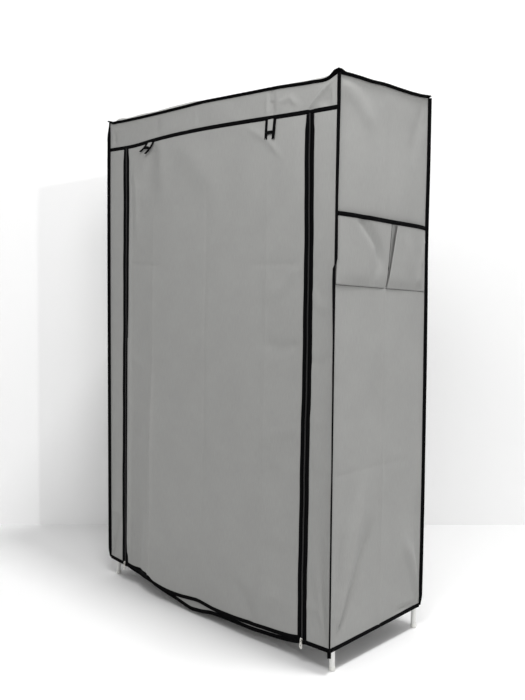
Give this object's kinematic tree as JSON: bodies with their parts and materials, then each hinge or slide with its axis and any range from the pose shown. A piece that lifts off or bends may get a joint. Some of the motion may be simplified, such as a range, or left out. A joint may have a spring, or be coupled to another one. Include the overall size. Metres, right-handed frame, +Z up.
{
  "type": "portable fabric wardrobe",
  "caption": "Portable fabric wardrobe: light tube frame under a grey sewn cover with black bindings, a zipped roll-up front door, hanging rail, shelves and a side pocket.",
  "frame": {"origin": "on the floor, under the middle of the overall box", "axes": "+Z up, -Y out of the door side, +X towards the side with the pockets"},
  "size_m": [1.0408, 0.4622, 1.625],
  "materials": {
    "cover_cloth": "matt nonwoven, grey",
    "black_tape": "matt woven, black",
    "white_tube": "white powder coat",
    "white_moulding": "satin, off-white",
    "zip_metal": "bright nickel"
  },
  "bodies": {
    "frame_and_cover": {"top_panel": "cover_cloth", "back_panel": "cover_cloth", "left_side_panel": "cover_cloth", "right_side_panel": "cover_cloth", "front_header": "cover_cloth", "front_left_strip": "cover_cloth", "front_right_strip": "cover_cloth", "front_sill_strip": "cover_cloth", "door_panel": "cover_cloth", "side_pocket": "cover_cloth", "bottom_shelf": "cover_cloth", "hat_shelf": "cover_cloth", "top_binding": "black_tape", "hem_binding": "black_tape", "header_binding": "black_tape", "pocket_binding": "black_tape", "front_left_binding": "black_tape", "front_right_binding": "black_tape", "back_left_binding": "black_tape", "back_right_binding": "black_tape", "zip_tape_left": "black_tape", "zip_tape_right": "black_tape", "tie_strap_left": "black_tape", "tie_strap_right": "black_tape", "post_front_left": "white_tube", "post_front_right": "white_tube", "post_back_left": "white_tube", "post_back_right": "white_tube", "hanging_rail": "white_tube", "lower_tube_front": "white_tube", "lower_tube_back": "white_tube", "lower_tube_left": "white_tube", "lower_tube_right": "white_tube", "shelf_tube_front": "white_tube", "shelf_tube_back": "white_tube", "shelf_tube_left": "white_tube", "shelf_tube_right": "white_tube", "top_tube_front": "white_tube", "top_tube_back": "white_tube", "top_tube_left": "white_tube", "top_tube_right": "white_tube", "lower_connector_front_left": "white_moulding", "lower_connector_front_right": "white_moulding", "lower_connector_back_left": "white_moulding", "lower_connector_back_right": "white_moulding", "shelf_connector_front_left": "white_moulding", "shelf_connector_front_right": "white_moulding", "shelf_connector_back_left": "white_moulding", "shelf_connector_back_right": "white_moulding", "top_connector_front_left": "white_moulding", "top_connector_front_right": "white_moulding", "top_connector_back_left": "white_moulding", "top_connector_back_right": "white_moulding", "rail_bracket_left": "white_moulding", "rail_bracket_right": "white_moulding"},
    "door": {"door_hem_binding": "black_tape"},
    "left_slider": {"zip_slider_left": "zip_metal"},
    "right_slider": {"zip_slider_right": "zip_metal"},
    "left_pull": {"zip_pull_left": "zip_metal"},
    "right_pull": {"zip_pull_right": "zip_metal"}
  },
  "joints": [
    {"name": "door_roll", "type": "slide", "parent": "frame_and_cover", "child": "door", "axis": [0, 0.0137, 0.9999], "range_m": [0, 1.385], "deforming": ["door_panel"]},
    {"name": "left_zip", "type": "slide", "parent": "frame_and_cover", "child": "left_slider", "axis": [0, 0.0137, 0.9999], "range_m": [0, 1.385]},
    {"name": "right_zip", "type": "slide", "parent": "frame_and_cover", "child": "right_slider", "axis": [0, 0.0137, 0.9999], "range_m": [0, 1.385]},
    {"name": "left_pull_swing", "type": "hinge", "parent": "left_slider", "child": "left_pull", "pos_m": [-0.414, -0.21744, 0.06906], "axis": [-1, 0, 0], "range_deg": [0, 150]},
    {"name": "right_pull_swing", "type": "hinge", "parent": "right_slider", "child": "right_pull", "pos_m": [0.414, -0.21744, 0.06906], "axis": [-1, 0, 0], "range_deg": [0, 150]}
  ],
  "couplings": [
    {"joint": "left_zip", "follows": "door_roll", "ratio": 1},
    {"joint": "right_zip", "follows": "door_roll", "ratio": 1}
  ]
}
